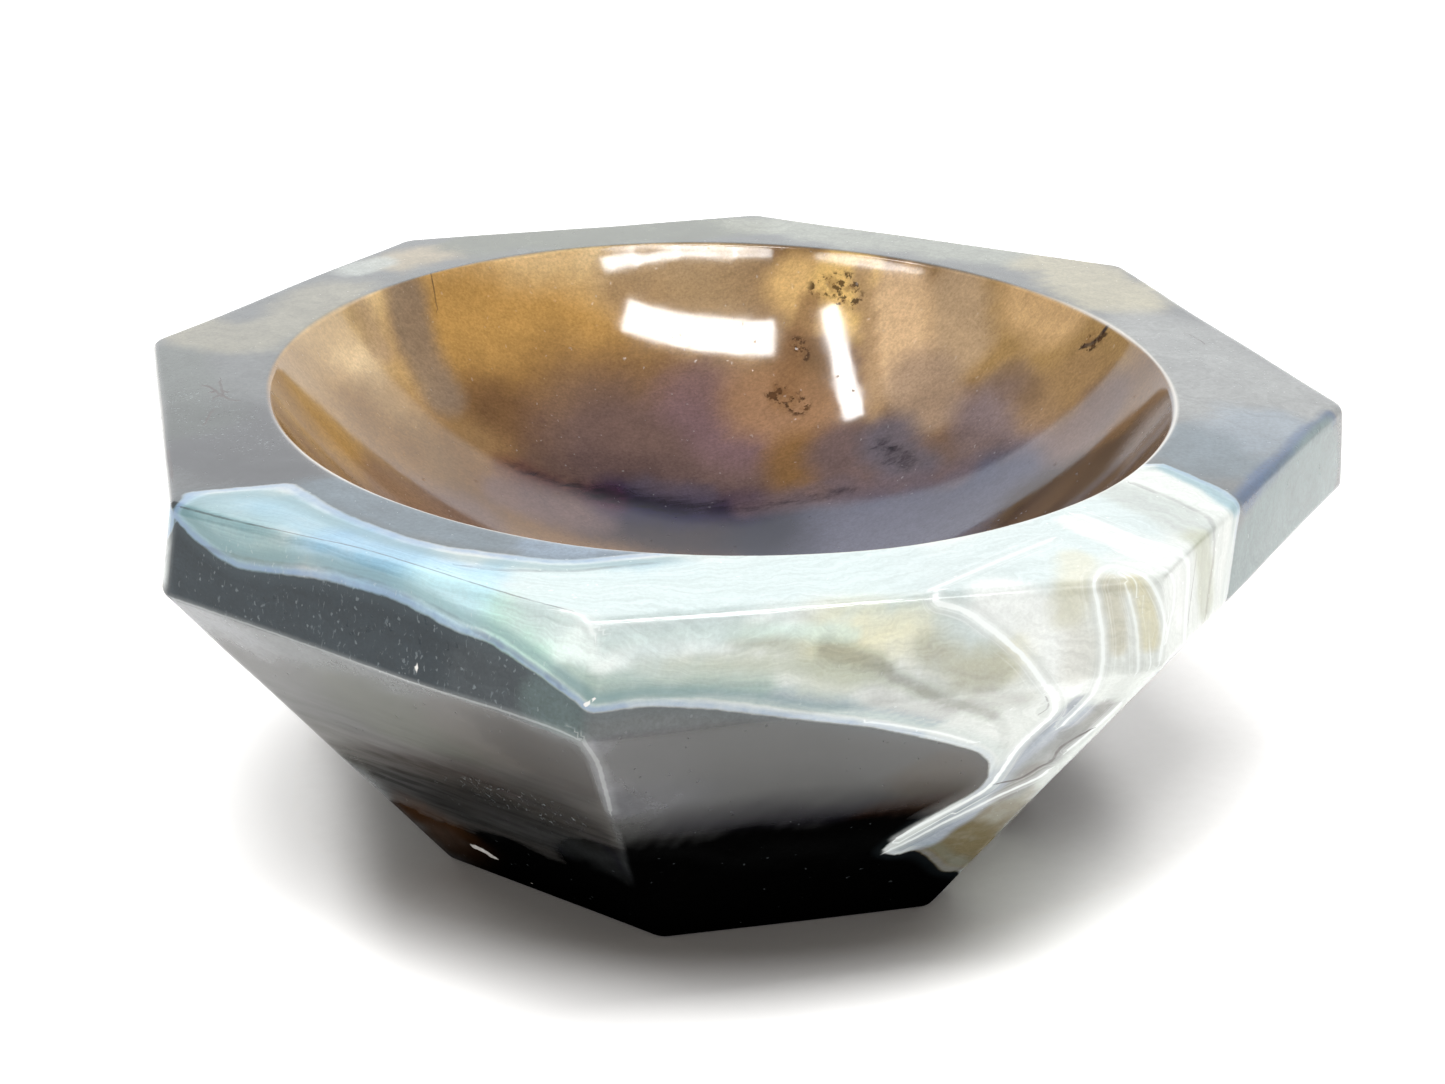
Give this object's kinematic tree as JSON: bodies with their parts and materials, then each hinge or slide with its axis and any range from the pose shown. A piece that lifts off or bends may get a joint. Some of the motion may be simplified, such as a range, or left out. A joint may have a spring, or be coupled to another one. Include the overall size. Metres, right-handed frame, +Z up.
{
  "type": "mortar and pestle",
  "caption": "Small laboratory mortar of polished banded agate: octagonal rim and foot, shallow round grinding bowl, with a matching faceted pestle lying beside it.",
  "frame": {"origin": "on the bowl axis, in the plane of the flat foot", "axes": "+Z up along the bowl axis, -Y towards the front facet of the octagon, +X to the right; the pestle lies on the bench on the +Y side"},
  "size_m": [0.06, 0.0755, 0.0206],
  "materials": {
    "mortar_agate": "polished, translucent, banded",
    "pestle_agate": "polished grip, satin working tip"
  },
  "bodies": {
    "mortar": {"mortar": "mortar_agate"},
    "pestle": {"pestle": "pestle_agate"}
  },
  "joints": [
    {"name": "pestle_lift", "type": "slide", "parent": "mortar", "child": "pestle", "axis": [0, 0, 1], "range_m": [0, 0.06]}
  ]
}
